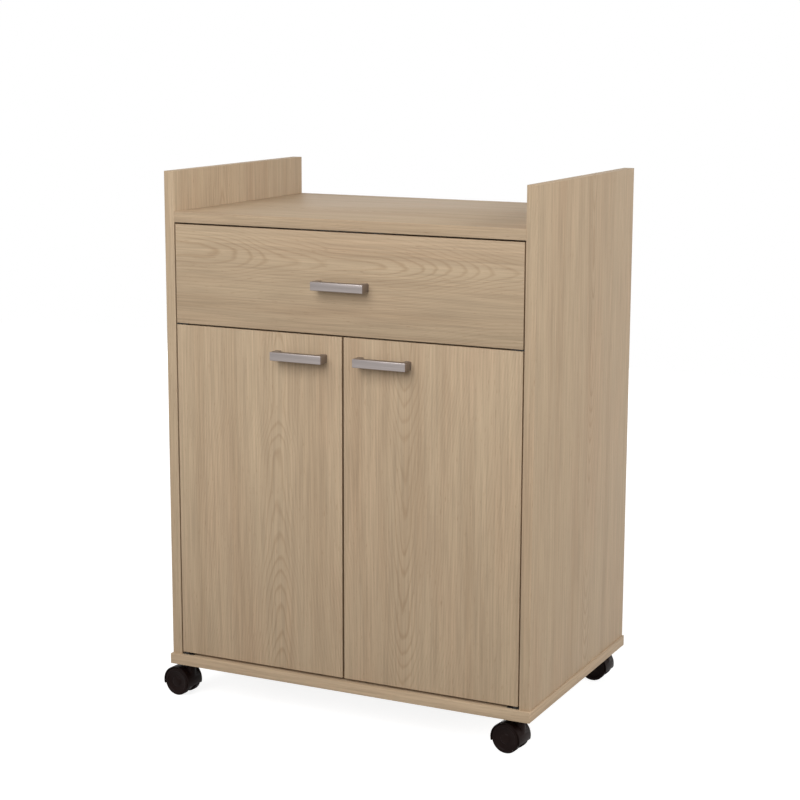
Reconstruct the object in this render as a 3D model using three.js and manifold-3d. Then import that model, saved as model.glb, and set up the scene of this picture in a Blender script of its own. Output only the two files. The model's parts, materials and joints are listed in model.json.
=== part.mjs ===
// A microwave cart on four swivel casters: laminated boards, one drawer, two inset doors.
// Millimetres. x runs to the right, y from the front to the back, z up from the floor.
import * as THREE from "three";
import { mergeVertices } from "three/addons/utils/BufferGeometryUtils.js";
import Module from "manifold-3d";

const wasm = await Module();
wasm.setup();

// ---- boards ----
const board = 16; // thickness of every laminated board
const cartWidth = 600; // over the side panels
const sideDepth = 395;
const sideHeight = 750; // from the base up
const shelfRise = 60; // how far the sides stand above the top shelf
const baseLipFront = 5; // how far the base stands proud of the sides
const baseLipSide = 2;
const baseLipBack = 3;
const backThick = 3;
const backInset = 10; // from the sides' back edges to the back panel
const groove = 6; // depth of every groove
const fitGap = 0.3; // clearance of a piece in its groove, hole or seat

// ---- fronts ----
const sideGap = 2; // between a front and the side panel
const topGap = 2.5; // between the top shelf and the drawer front
const middleGap = 2.5; // between the drawer front and the doors
const centreGap = 3; // between the two doors
const bottomGap = 4.5; // between the doors and the base
const drawerFrontHeight = 149;
const edgeRound = 0.8; // radius of the fronts' upright edges

// ---- inside ----
const railDepth = 70;
const railSetback = 3.2; // behind the doors' backs
const innerShelfHeight = 250; // from the base up to its pins' axis
const innerShelfSetback = 30; // behind the doors' backs
const innerShelfEndGap = 2;
const innerShelfBackGap = 2;
const pinRadius = 2.5;
const pinInPanel = 9;
const pinOut = 9;
const pinCollarRadius = 4;
const pinCollar = 1.5;
const pinEdgeDistance = 35; // from the inner shelf's front and back edges to its pins
const pinRowPitch = 64; // between the rows of pin holes
const pinRows = 3;
const pinSides = 16;

// ---- handles ----
const handleLength = 84.5;
const handleHeight = 13;
const handleReach = 20; // from the front's face to the bar's face
const handleBar = 10; // thickness of the bar
const handleLeg = 9; // width of each leg
const handleBevel = 0.8;
const drawerHandleDrop = 2.5; // below the middle of the drawer front
const doorHandleDrop = 33; // from the door's top edge to the handle's middle
const doorHandleInset = 24.15; // from the door's inner edge to the handle's end

// ---- pivots of the doors ----
const pivotInset = 5; // from the door's outer edge and from its face to the pin's axis
const pivotPinRadius = 2;
const pivotPinLength = 10; // inside the door
const pivotPlate = 1.2; // thickness of the steel
const pivotPlateWidth = 20;
const pivotPlateFront = 2; // from the doors' faces back to the plate's front edge
const pivotPlateDepth = 38;
const pivotTopClear = 0.6; // between a door's top edge and the upper plate
const pivotTabHeight = 8; // the upper plate's tab on the rail
const pivotShoulderRadius = 4;
const pinHoleSides = 16;

// ---- magnetic catch ----
const catchLength = 46;
const catchHeight = 13;
const catchDepth = 17;
const strikeLength = 16;
const strikeHeight = 12;
const strikeThick = 1.2;
const strikeInset = 4; // from the door's inner edge

// ---- drawer ----
const drawerBoard = 12;
const drawerHeight = 100;
const drawerBackGap = 26; // between the drawer and the back panel
const drawerSideGap = 13; // between the drawer's side and the cabinet's side
const drawerLift = 10.75; // from the rail's top to the drawer sides' lower edges
const drawerBottomThick = 3;
const drawerBottomRise = 8; // from the sides' lower edges to the bottom's groove

// ---- runners ----
const steel = 1.2;
const runnerFront = 20; // from the fronts' faces
const runnerBackGap = 17; // between the cabinet runners and the back panel
const trackHeight = 17; // inside the cabinet runner's channel
const trackDrop = 5.8; // from the drawer sides' lower edges down to the channel's floor
const trackLip = 9; // width of the channel's lips
const rollerRadius = 8;
const rollerWidth = 6.5;
const studRadius = 2;
const rollerPlay = 0.5; // sideways, between a roller and its runner's web
const frontRollerSetback = 12; // from the runner's front end to its roller's axis
const rearRollerSetback = 12; // from the drawer runner's back end to its roller's axis
const frontRollerRise = 3.3; // of the front roller's axis above the rear one's
const drawerRunnerGap = 1; // behind the drawer front
const drawerRunnerShort = 6; // from the drawer's back edge to its runners' back ends
const flangeWidth = 8.5;
const rollerSides = 16;

// ---- casters ----
const casterHeight = 54; // from the floor to the base
const casterInset = 22.5; // from the base's edges to the stem's axis
const casterTrail = 16; // from the stem's axis back to the axle
const frontTurn = 6; // degrees that the front casters stand turned
const backTurn = 1;
const wheelRadius = 22;
const wheelWidth = 10.2;
const wheelBevel = 1.6;
const wheelDish = 1.2; // depth of the outer face's dish
const wheelHubRadius = 6;
const wheelRimWidth = 3.5;
const wheelSides = 24;
const axleRadius = 2;
const finWidth = 13; // the hood's middle wall
const finRadius = 19;
const wheelPlay = 0.6; // between a wheel and the middle wall
const hoodWall = 1.5;
const hoodClear = 0.7; // between a wheel's tread and the hood
const hoodSkirt = 6; // how far the hood reaches below the axle
const stemRadius = 3.9;
const stemWall = 3.1; // of the hood round the stem's bore
const stemBottom = 20; // from the floor
const bossBottom = 24;
const bossWebTop = 40; // of the web that ties the boss to the middle wall
const collarRadius = 7;
const collarThick = 1.7;
const flangeRadius = 8;
const flangeThick = 1.5;
const socketWall = 1.3;
const socketDepth = 13.5; // in the base
const roundSides = 20;

// ---- places worked out from the sizes ----
const innerHalf = cartWidth / 2 - board; // from the middle to a side's inner face
const baseTop = casterHeight + board;
const sideTop = baseTop + sideHeight;
const topShelfTop = sideTop - shelfRise;
const topShelfUnder = topShelfTop - board;
const baseHalf = cartWidth / 2 + baseLipSide;
const baseBack = sideDepth + baseLipBack;
const backFront = sideDepth - backInset - backThick; // the back panel's front face
const drawerFrontTop = topShelfUnder - topGap;
const drawerFrontUnder = drawerFrontTop - drawerFrontHeight;
const doorTop = drawerFrontUnder - middleGap;
const doorUnder = baseTop + bottomGap;
const frontHalf = innerHalf - sideGap; // from the middle to a front's outer edge
const railMiddle = (doorTop + drawerFrontUnder) / 2;
const railFront = board + railSetback;
const railUnder = railMiddle - board / 2;
const railTop = railMiddle + board / 2;
const hoodRadius = wheelRadius + hoodClear + hoodWall;
const casterWidth = finWidth + 2 * (wheelPlay + wheelWidth);

// The floor area that the cart covers, which the origin lies in the middle of.
const reachRight = baseHalf;
const frontAngle = THREE.MathUtils.degToRad(frontTurn);
const hoodReach = (casterTrail + hoodRadius) * Math.cos(frontAngle) + (casterWidth / 2) * Math.sin(frontAngle);
const reachLeft = baseHalf - casterInset + hoodReach;
const middleX = (reachRight - reachLeft) / 2;
const middleY = (baseBack - handleReach) / 2;

function finish(hex, roughness, metalness = 0) {
  return new THREE.MeshStandardMaterial({ color: hex, roughness, metalness });
}

const laminate = () => finish(0xc8ad8a, 0.5);
const hardboard = () => finish(0xcdb596, 0.7);
const drawerLaminate = () => finish(0xe6e0d4, 0.5);
const satinNickel = () => finish(0xa9a09d, 0.35, 0.9);
const blackSteel = () => finish(0x1e1c1b, 0.5);
const zincSteel = () => finish(0xb9bcc0, 0.35, 1);
const paintedSteel = () => finish(0xe8e6e0, 0.4);
const nylon = () => finish(0xe9e7e1, 0.45);
const blackPlastic = () => finish(0x1c1a19, 0.4);
const brownPlastic = () => finish(0x8a6f52, 0.5);

const cart = new THREE.Group();
cart.position.set(-middleX, -middleY, 0);

// Adds a named mesh to a group.
function place(parent, name, geometry, material, x = 0, y = 0, z = 0) {
  const mesh = new THREE.Mesh(geometry, material);
  mesh.name = name;
  mesh.position.set(x, y, z);
  parent.add(mesh);
  return mesh;
}

// A closed geometry as a solid that can be joined or cut.
function solid(geometry) {
  const bare = geometry.index ? geometry.toNonIndexed() : geometry.clone();
  bare.deleteAttribute("normal");
  bare.deleteAttribute("uv");
  const merged = mergeVertices(bare, 1e-4);
  return new wasm.Manifold(
    new wasm.Mesh({
      numProp: 3,
      vertProperties: merged.attributes.position.array,
      triVerts: new Uint32Array(merged.index.array),
    }),
  );
}

function geometryOf(shape) {
  const { vertProperties, triVerts } = shape.getMesh();
  const geometry = new THREE.BufferGeometry();
  geometry.setAttribute("position", new THREE.BufferAttribute(new Float32Array(vertProperties), 3));
  geometry.setIndex(new THREE.BufferAttribute(new Uint32Array(triVerts), 1));
  return geometry;
}

// The first geometry with the added ones joined and the cut ones taken away.
function carved(first, added, cuts) {
  let shape = solid(first);
  for (const piece of added) shape = shape.add(solid(piece));
  for (const piece of cuts) shape = shape.subtract(solid(piece));
  return geometryOf(shape);
}

// A box from one corner to the opposite one.
function block(x0, x1, y0, y1, z0, z1) {
  const box = new THREE.BoxGeometry(x1 - x0, y1 - y0, z1 - z0);
  return box.translate((x0 + x1) / 2, (y0 + y1) / 2, (z0 + z1) / 2);
}

// A round bar between two places on one axis, "x", "y" or "z".
function bar(axis, radius, from, to, x, y, z, sides = pinHoleSides) {
  const rod = new THREE.CylinderGeometry(radius, radius, to - from, sides);
  const half = (from + to) / 2;
  if (axis === "x") return rod.rotateZ(Math.PI / 2).translate(half, y, z);
  if (axis === "z") return rod.rotateX(Math.PI / 2).translate(x, y, half);
  return rod.translate(x, half, z);
}

// A ring or disc turned about z from its outline of radius and height pairs.
function turning(outline, sides) {
  const points = outline.map(([r, h]) => new THREE.Vector2(r, h));
  return new THREE.LatheGeometry(points, sides).rotateX(Math.PI / 2);
}

// ---- carcass ----
const casterPlaces = [
  { name: "front_left", x: -1, y: casterInset - baseLipFront, turn: frontTurn },
  { name: "front_right", x: 1, y: casterInset - baseLipFront, turn: frontTurn },
  { name: "back_left", x: -1, y: baseBack - casterInset, turn: backTurn },
  { name: "back_right", x: 1, y: baseBack - casterInset, turn: backTurn },
].map((spot) => ({ ...spot, x: spot.x * (baseHalf - casterInset) }));

const socketRadius = stemRadius + fitGap + socketWall;
const socketHoles = casterPlaces.map(({ x, y }) =>
  bar("z", socketRadius + fitGap, casterHeight - fitGap, casterHeight + socketDepth + fitGap,
    x, y, 0, roundSides));

place(cart, "base_panel",
  carved(block(-baseHalf, baseHalf, -baseLipFront, baseBack, casterHeight, baseTop), [], socketHoles),
  laminate());

const innerShelfFront = board + innerShelfSetback;
const innerShelfBack = backFront - innerShelfBackGap;
const pinZ = baseTop + innerShelfHeight;
const pinYs = [innerShelfFront + pinEdgeDistance, innerShelfBack - pinEdgeDistance];
const innerShelfUnder = pinZ + pinRadius + fitGap;

function pinHoles(side) {
  const holes = [];
  for (const y of pinYs) {
    for (let row = 0; row < pinRows; row++) {
      const z = pinZ + (row - (pinRows - 1) / 2) * pinRowPitch;
      const ends = [side * (innerHalf - fitGap), side * (innerHalf + pinInPanel + fitGap)];
      holes.push(bar("x", pinRadius + fitGap, Math.min(...ends), Math.max(...ends), 0, y, z, pinSides));
    }
  }
  return holes;
}

for (const [name, side] of [["side_panel_left", -1], ["side_panel_right", 1]]) {
  const inner = side * innerHalf;
  const outer = side * (cartWidth / 2);
  const grooveEnds = [side * (innerHalf - fitGap), side * (innerHalf + groove)];
  const backGroove = block(Math.min(...grooveEnds), Math.max(...grooveEnds),
    backFront - fitGap, backFront + backThick + fitGap, baseTop - fitGap, topShelfUnder);
  place(cart, name,
    carved(block(Math.min(inner, outer), Math.max(inner, outer), 0, sideDepth, baseTop, sideTop),
      [], [backGroove, ...pinHoles(side)]),
    laminate());
}

place(cart, "top_shelf", block(-innerHalf, innerHalf, 0, sideDepth, topShelfUnder, topShelfTop), laminate());

const backHalf = innerHalf + groove - fitGap;
place(cart, "back_panel",
  block(-backHalf, backHalf, backFront, backFront + backThick, baseTop, topShelfUnder - fitGap),
  hardboard());

place(cart, "front_rail",
  block(-innerHalf, innerHalf, railFront, railFront + railDepth, railUnder, railTop), laminate());

const innerShelfHalf = innerHalf - innerShelfEndGap;
place(cart, "inner_shelf",
  block(-innerShelfHalf, innerShelfHalf, innerShelfFront, innerShelfBack,
    innerShelfUnder, innerShelfUnder + board),
  laminate());

// A shelf pin lies along x, its shank in the panel and its rest under the shelf.
function pinGeometry(side) {
  const flatUp = Math.cos(Math.PI / pinSides);
  const outline = [
    [0, -pinInPanel],
    [pinRadius, -pinInPanel],
    [pinRadius, fitGap],
    [pinCollarRadius, fitGap],
    [pinCollarRadius, pinCollar],
    [pinRadius / flatUp, pinCollar],
    [pinRadius / flatUp, pinOut],
    [0, pinOut],
  ];
  const pin = turning(outline, pinSides).rotateZ(Math.PI / pinSides);
  return pin.rotateY(side * -Math.PI / 2);
}

for (const [label, side] of [["left", -1], ["right", 1]]) {
  for (const [end, y] of [["front", pinYs[0]], ["back", pinYs[1]]]) {
    place(cart, `shelf_pin_${label}_${end}`, pinGeometry(side), zincSteel(), side * innerHalf, y, pinZ);
  }
}

// ---- handles ----
// The bar stands on two legs. Its outline is drawn from above and drawn out upwards.
function handleGeometry() {
  const half = handleLength / 2 - handleBevel;
  const face = -handleReach + handleBevel;
  const barBack = -handleReach + handleBar - handleBevel;
  const legInner = handleLength / 2 - handleLeg + handleBevel;
  const foot = -handleBevel;
  const outline = new THREE.Shape([
    new THREE.Vector2(-half, foot),
    new THREE.Vector2(-half, face),
    new THREE.Vector2(half, face),
    new THREE.Vector2(half, foot),
    new THREE.Vector2(legInner, foot),
    new THREE.Vector2(legInner, barBack),
    new THREE.Vector2(-legInner, barBack),
    new THREE.Vector2(-legInner, foot),
  ]);
  const drawn = new THREE.ExtrudeGeometry(outline, {
    depth: handleHeight - 2 * handleBevel,
    bevelThickness: handleBevel,
    bevelSize: handleBevel,
    bevelSegments: 1,
  });
  return drawn.translate(0, 0, -handleHeight / 2 + handleBevel);
}

// ---- drawer ----
const drawerUnder = railTop + drawerLift;
const drawerTop = drawerUnder + drawerHeight;
const drawerHalf = innerHalf - drawerSideGap;
const drawerInner = drawerHalf - drawerBoard;
const drawerBack = backFront - drawerBackGap;
const bottomUnder = drawerUnder + drawerBottomRise;
const bottomTop = bottomUnder + drawerBottomThick;

// A board seen from above with rounded upright edges, drawn out from z0 to z1.
function frontGeometry(x0, x1, z0, z1) {
  const r = edgeRound;
  const outline = new THREE.Shape();
  outline.moveTo(x0 + r, 0);
  outline.lineTo(x1 - r, 0);
  outline.absarc(x1 - r, r, r, -Math.PI / 2, 0);
  outline.lineTo(x1, board - r);
  outline.absarc(x1 - r, board - r, r, 0, Math.PI / 2);
  outline.lineTo(x0 + r, board);
  outline.absarc(x0 + r, board - r, r, Math.PI / 2, Math.PI);
  outline.lineTo(x0, r);
  outline.absarc(x0 + r, r, r, Math.PI, 1.5 * Math.PI);
  const drawn = new THREE.ExtrudeGeometry(outline, { depth: z1 - z0, bevelEnabled: false, curveSegments: 4 });
  return drawn.translate(0, 0, z0);
}

const frontGroove = block(-drawerInner - groove, drawerInner + groove,
  board - groove, board + fitGap, bottomUnder - fitGap, bottomTop + fitGap);
place(cart, "drawer_front",
  carved(frontGeometry(-frontHalf, frontHalf, drawerFrontUnder, drawerFrontTop), [], [frontGroove]),
  laminate());

for (const [name, side] of [["drawer_side_left", -1], ["drawer_side_right", 1]]) {
  const xs = [side * drawerInner, side * drawerHalf];
  const cutXs = [side * (drawerInner - fitGap), side * (drawerInner + groove)];
  const bottomGroove = block(Math.min(...cutXs), Math.max(...cutXs),
    board - fitGap, drawerBack + fitGap, bottomUnder - fitGap, bottomTop + fitGap);
  place(cart, name,
    carved(block(Math.min(...xs), Math.max(...xs), board, drawerBack, drawerUnder, drawerTop),
      [], [bottomGroove]),
    drawerLaminate());
}

place(cart, "drawer_back",
  block(-drawerInner, drawerInner, drawerBack - drawerBoard, drawerBack, bottomTop + fitGap, drawerTop),
  drawerLaminate());

const bottomHalf = drawerInner + groove - fitGap;
place(cart, "drawer_bottom",
  block(-bottomHalf, bottomHalf, board - groove + fitGap, drawerBack, bottomUnder, bottomTop),
  hardboard());

const drawerHandleZ = (drawerFrontTop + drawerFrontUnder) / 2 - drawerHandleDrop;
place(cart, "drawer_handle", handleGeometry(), satinNickel(), 0, 0, drawerHandleZ);

// ---- runners ----
const trackFloor = drawerUnder - trackDrop; // top face of the channel's lower lip
const trackTop = trackFloor + trackHeight; // under face of its upper lip
const rearRollerZ = trackFloor + fitGap + rollerRadius;
const frontRollerZ = rearRollerZ + frontRollerRise;
const runnerFlangeUnder = frontRollerZ + rollerRadius + fitGap;
const frontRollerY = runnerFront + frontRollerSetback;
const drawerRunnerFront = board + drawerRunnerGap;
const drawerRunnerBack = drawerBack - drawerRunnerShort;
const rearRollerY = drawerRunnerBack - rearRollerSetback;
const webInner = innerHalf - steel; // the cabinet runner's web, seen from the middle
const drawerWeb = drawerHalf + steel; // outer face of the drawer runner's web
const lipCut = frontRollerSetback + rollerRadius + 2 * fitGap; // upper lip left out over the roller

function mirrored(side, x0, x1) {
  return side > 0 ? [x0, x1] : [-x1, -x0];
}

function cabinetRunner(side) {
  const back = backFront - runnerBackGap;
  const web = block(...mirrored(side, webInner, innerHalf), runnerFront, back,
    trackFloor - steel, trackTop + steel);
  const lower = block(...mirrored(side, webInner - trackLip, innerHalf), runnerFront + lipCut, back,
    trackFloor - steel, trackFloor);
  const upper = block(...mirrored(side, webInner - trackLip, innerHalf), runnerFront + lipCut, back,
    trackTop, trackTop + steel);
  const studEnds = mirrored(side, webInner - rollerPlay - rollerWidth - rollerPlay, innerHalf);
  const stud = bar("x", studRadius, ...studEnds, 0, frontRollerY, frontRollerZ, rollerSides);
  return carved(web, [lower, upper, stud], []);
}

function drawerRunner(side) {
  const span = [drawerRunnerFront, drawerRunnerBack];
  const web = block(...mirrored(side, drawerHalf, drawerWeb), ...span,
    drawerUnder - steel, runnerFlangeUnder + steel);
  const under = block(...mirrored(side, drawerInner, drawerWeb), ...span, drawerUnder - steel, drawerUnder);
  const flange = block(...mirrored(side, drawerHalf, drawerWeb + flangeWidth), ...span,
    runnerFlangeUnder, runnerFlangeUnder + steel);
  const studEnds = mirrored(side, drawerHalf, drawerWeb + rollerPlay + rollerWidth + rollerPlay);
  const stud = bar("x", studRadius, ...studEnds, 0, rearRollerY, rearRollerZ, rollerSides);
  return carved(web, [under, flange, stud], []);
}

// A roller with its bore along x, centred on its width.
function rollerGeometry() {
  const half = rollerWidth / 2;
  const bore = studRadius + fitGap;
  const outline = [
    [bore, -half],
    [rollerRadius, -half],
    [rollerRadius, half],
    [bore, half],
    [bore, -half],
  ];
  return turning(outline, rollerSides).rotateY(Math.PI / 2);
}

for (const [label, side] of [["left", -1], ["right", 1]]) {
  place(cart, `cabinet_runner_${label}`, cabinetRunner(side), paintedSteel());
  place(cart, `drawer_runner_${label}`, drawerRunner(side), paintedSteel());
  place(cart, `cabinet_roller_${label}`, rollerGeometry(), nylon(),
    side * (webInner - rollerPlay - rollerWidth / 2), frontRollerY, frontRollerZ);
  place(cart, `drawer_roller_${label}`, rollerGeometry(), nylon(),
    side * (drawerWeb + rollerPlay + rollerWidth / 2), rearRollerY, rearRollerZ);
}

// ---- doors ----
const doorHandleZ = doorTop - doorHandleDrop;
const pivotX = frontHalf - pivotInset;
const upperPlateUnder = doorTop + pivotTopClear;

function pivotHoles(side) {
  const x = side * pivotX;
  const radius = pivotPinRadius + fitGap;
  const deep = pivotPinLength + fitGap;
  return [
    bar("z", radius, doorTop - deep, doorTop + fitGap, x, pivotInset, 0),
    bar("z", radius, doorUnder - fitGap, doorUnder + deep, x, pivotInset, 0),
  ];
}

// The upper plate lies in the gap over the door and turns down on the rail's front edge.
function upperPivot(side) {
  const xs = mirrored(side, innerHalf - pivotPlateWidth, innerHalf - fitGap);
  const plate = block(...xs, pivotPlateFront, railFront, upperPlateUnder, upperPlateUnder + pivotPlate);
  const tab = block(...xs, railFront - pivotPlate, railFront,
    upperPlateUnder - pivotTabHeight, upperPlateUnder + pivotPlate);
  const pin = bar("z", pivotPinRadius, doorTop - pivotPinLength, upperPlateUnder + pivotPlate / 2,
    side * pivotX, pivotInset, 0);
  return carved(plate, [tab, pin], []);
}

// The lower plate lies on the base, and the door stands on its pin's shoulder.
function lowerPivot(side) {
  const xs = mirrored(side, innerHalf - pivotPlateWidth, innerHalf - fitGap);
  const plate = block(...xs, pivotPlateFront, pivotPlateFront + pivotPlateDepth, baseTop, baseTop + pivotPlate);
  const shoulder = bar("z", pivotShoulderRadius, baseTop + pivotPlate / 2, doorUnder - fitGap,
    side * pivotX, pivotInset, 0);
  const pin = bar("z", pivotPinRadius, baseTop + pivotPlate / 2, doorUnder + pivotPinLength,
    side * pivotX, pivotInset, 0);
  return carved(plate, [shoulder, pin], []);
}

for (const [label, side] of [["left", -1], ["right", 1]]) {
  const xs = mirrored(side, centreGap / 2, frontHalf);
  place(cart, `door_${label}`,
    carved(frontGeometry(...xs, doorUnder, doorTop), [], pivotHoles(side)), laminate());
  const handleX = centreGap / 2 + doorHandleInset + handleLength / 2;
  place(cart, `door_handle_${label}`, handleGeometry(), satinNickel(), side * handleX, 0, doorHandleZ);
  place(cart, `door_pivot_upper_${label}`, upperPivot(side), blackSteel());
  place(cart, `door_pivot_lower_${label}`, lowerPivot(side), blackSteel());
  const strikeXs = mirrored(side, centreGap / 2 + strikeInset, centreGap / 2 + strikeInset + strikeLength);
  const strikeTop = railUnder - fitGap;
  place(cart, `strike_plate_${label}`,
    block(...strikeXs, board, board + strikeThick, strikeTop - strikeHeight, strikeTop), zincSteel());
}

const catchFront = board + strikeThick + fitGap;
place(cart, "magnetic_catch",
  block(-catchLength / 2, catchLength / 2, catchFront, catchFront + catchDepth,
    railUnder - catchHeight, railUnder),
  brownPlastic());

// ---- casters ----
const stemBore = stemRadius + fitGap;
const socketFlangeUnder = casterHeight - flangeThick;
const collarTop = socketFlangeUnder - fitGap;
const bossTop = collarTop - collarThick - fitGap;
const socketTop = casterHeight + socketDepth;

function socketGeometry() {
  return turning([
    [stemBore, socketFlangeUnder],
    [flangeRadius, socketFlangeUnder],
    [flangeRadius, casterHeight],
    [socketRadius, casterHeight],
    [socketRadius, socketTop],
    [stemBore, socketTop],
    [stemBore, socketFlangeUnder],
  ], roundSides);
}

function stemGeometry() {
  return turning([
    [0, stemBottom],
    [stemRadius, stemBottom],
    [stemRadius, collarTop - collarThick],
    [collarRadius, collarTop - collarThick],
    [collarRadius, collarTop],
    [stemRadius, collarTop],
    [stemRadius, socketTop - fitGap],
    [0, socketTop - fitGap],
  ], roundSides);
}

// The hood: a cap over both wheels, a middle wall between them and a boss round the stem.
function hoodGeometry() {
  const half = casterWidth / 2;
  const cap = bar("y", hoodRadius, -half, half, -casterTrail, 0, wheelRadius, 2 * wheelSides);
  const below = block(-casterTrail - hoodRadius, -casterTrail + hoodRadius,
    -half - fitGap, half + fitGap, -hoodRadius, wheelRadius - hoodSkirt);
  const pocketRadius = wheelRadius + hoodClear;
  const pockets = [-1, 1].map((side) => {
    const ends = [side * (finWidth / 2), side * (half + fitGap)];
    return bar("y", pocketRadius, Math.min(...ends), Math.max(...ends), -casterTrail, 0, wheelRadius,
      2 * wheelSides);
  });
  const fin = bar("y", finRadius, -finWidth / 2, finWidth / 2, -casterTrail, 0, wheelRadius, 2 * wheelSides);
  const boss = bar("z", stemBore + stemWall, wheelRadius, bossTop, 0, 0, 0, roundSides);
  const bossWeb = block(-casterTrail, stemBore + stemWall / 2, -finWidth / 2, finWidth / 2,
    bossBottom, bossWebTop);
  const shell = solid(carved(cap, [], [below, ...pockets]));
  const whole = shell.add(solid(fin)).add(solid(bossWeb)).add(solid(carved(boss, [], pockets)));
  const axleBore = bar("y", axleRadius + fitGap, -finWidth, finWidth, -casterTrail, 0, wheelRadius);
  const stemHole = bar("z", stemBore, stemBottom - fitGap, casterHeight, 0, 0, 0, roundSides);
  return geometryOf(whole.subtract(solid(axleBore)).subtract(solid(stemHole)));
}

// A wheel lies along y, its dished face outwards. side is -1 for the outer one at the front.
function wheelGeometry(side) {
  const corner = 1 / Math.cos(Math.PI / wheelSides); // the flats, not the corners, touch the floor
  const bore = axleRadius + fitGap;
  const inner = finWidth / 2 + wheelPlay;
  const outer = inner + wheelWidth;
  const rim = wheelRadius * corner;
  const points = [
    [bore, inner],
    [rim - wheelBevel, inner],
    [rim, inner + wheelBevel],
    [rim, outer - wheelBevel],
    [rim - wheelBevel, outer],
    [rim - wheelBevel - wheelRimWidth, outer],
    [rim - wheelBevel - wheelRimWidth - wheelDish, outer - wheelDish],
    [wheelHubRadius, outer - wheelDish],
    [bore, outer - wheelDish],
    [bore, inner],
  ].map(([r, y]) => new THREE.Vector2(r, side * y));
  if (side < 0) points.reverse();
  return new THREE.LatheGeometry(points, wheelSides, Math.PI / wheelSides);
}

const axleEnd = finWidth / 2 + wheelPlay + wheelWidth - wheelDish - fitGap;
for (const { name, x, y, turn } of casterPlaces) {
  place(cart, `caster_socket_${name}`, socketGeometry(), blackPlastic(), x, y, 0);
  place(cart, `caster_stem_${name}`, stemGeometry(), zincSteel(), x, y, 0);
  const caster = new THREE.Group();
  caster.position.set(x, y, 0);
  caster.rotation.z = THREE.MathUtils.degToRad(-turn);
  cart.add(caster);
  place(caster, `caster_hood_${name}`, hoodGeometry(), blackPlastic());
  place(caster, `caster_axle_${name}`,
    bar("y", axleRadius, -axleEnd, axleEnd, 0, 0, 0), zincSteel(), -casterTrail, 0, wheelRadius);
  place(caster, `caster_wheel_${name}_front`, wheelGeometry(-1), blackPlastic(), -casterTrail, 0, wheelRadius);
  place(caster, `caster_wheel_${name}_back`, wheelGeometry(1), blackPlastic(), -casterTrail, 0, wheelRadius);
}

export default cart;
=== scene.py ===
import json
import math

import bmesh
import bpy
from mathutils import Matrix, Vector


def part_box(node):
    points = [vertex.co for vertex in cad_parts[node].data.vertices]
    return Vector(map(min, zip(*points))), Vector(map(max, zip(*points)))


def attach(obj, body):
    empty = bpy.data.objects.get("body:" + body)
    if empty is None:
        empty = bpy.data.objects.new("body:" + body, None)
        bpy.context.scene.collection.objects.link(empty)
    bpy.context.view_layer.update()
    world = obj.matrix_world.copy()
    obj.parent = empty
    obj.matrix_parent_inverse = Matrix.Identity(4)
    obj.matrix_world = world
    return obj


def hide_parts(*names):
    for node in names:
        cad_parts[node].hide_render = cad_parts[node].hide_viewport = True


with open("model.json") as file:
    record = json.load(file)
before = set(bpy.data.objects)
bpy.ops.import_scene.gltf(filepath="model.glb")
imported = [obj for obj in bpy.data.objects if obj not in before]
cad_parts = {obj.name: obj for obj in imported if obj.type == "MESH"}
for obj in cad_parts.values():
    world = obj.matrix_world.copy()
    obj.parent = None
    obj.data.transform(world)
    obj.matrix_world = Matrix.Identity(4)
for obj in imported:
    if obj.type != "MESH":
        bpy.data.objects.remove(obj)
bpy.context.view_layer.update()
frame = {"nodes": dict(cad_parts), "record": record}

# A microwave cart of beech-print board on four casters: finishes, small fittings, studio and camera.
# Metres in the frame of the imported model. x runs to the right, y to the back, z up from the floor.

mm = 0.001
nodeBody = {node: body for body, nodes in frame["record"]["behaviour"]["bodies"].items() for node in nodes}
print("frame loaded:", len(nodeBody), "nodes")


def linear(hexColour):  # sRGB hex to linear RGBA
    parts = [int(hexColour[i:i + 2], 16) / 255 for i in (1, 3, 5)]
    return (*[c / 12.92 if c <= 0.04045 else ((c + 0.055) / 1.055) ** 2.4 for c in parts], 1)


# A node with its settings, values and links. A node given as a value stands for its first output.
# A colour ramp's stops are (place, hex colour or grey level), in rising order.
def addNode(tree, kind, inputs=None, stops=(), between="LINEAR", **settings):
    made = tree.nodes.new(kind)
    for key, value in settings.items():
        setattr(made, key, value)
    for key, value in (inputs or {}).items():
        if isinstance(value, bpy.types.Node):
            value = value.outputs[0]
        if isinstance(value, bpy.types.NodeSocket):
            tree.links.new(value, made.inputs[key])
        else:
            made.inputs[key].default_value = value
    for index, (place, colour) in enumerate(stops):
        made.color_ramp.interpolation = between
        elements = made.color_ramp.elements
        element = elements[index] if index < 2 else elements.new(place)
        element.position = place
        element.color = linear(colour) if isinstance(colour, str) else (colour, colour, colour, 1)
    return made


mixFactor, mixA, mixB, mixResult = 0, 6, 7, 2  # the sockets of a Mix node that mixes colours


def newMaterial(name):
    made = bpy.data.materials.new(name)
    made.use_nodes = True
    made.node_tree.nodes.clear()
    return made, made.node_tree


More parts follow.
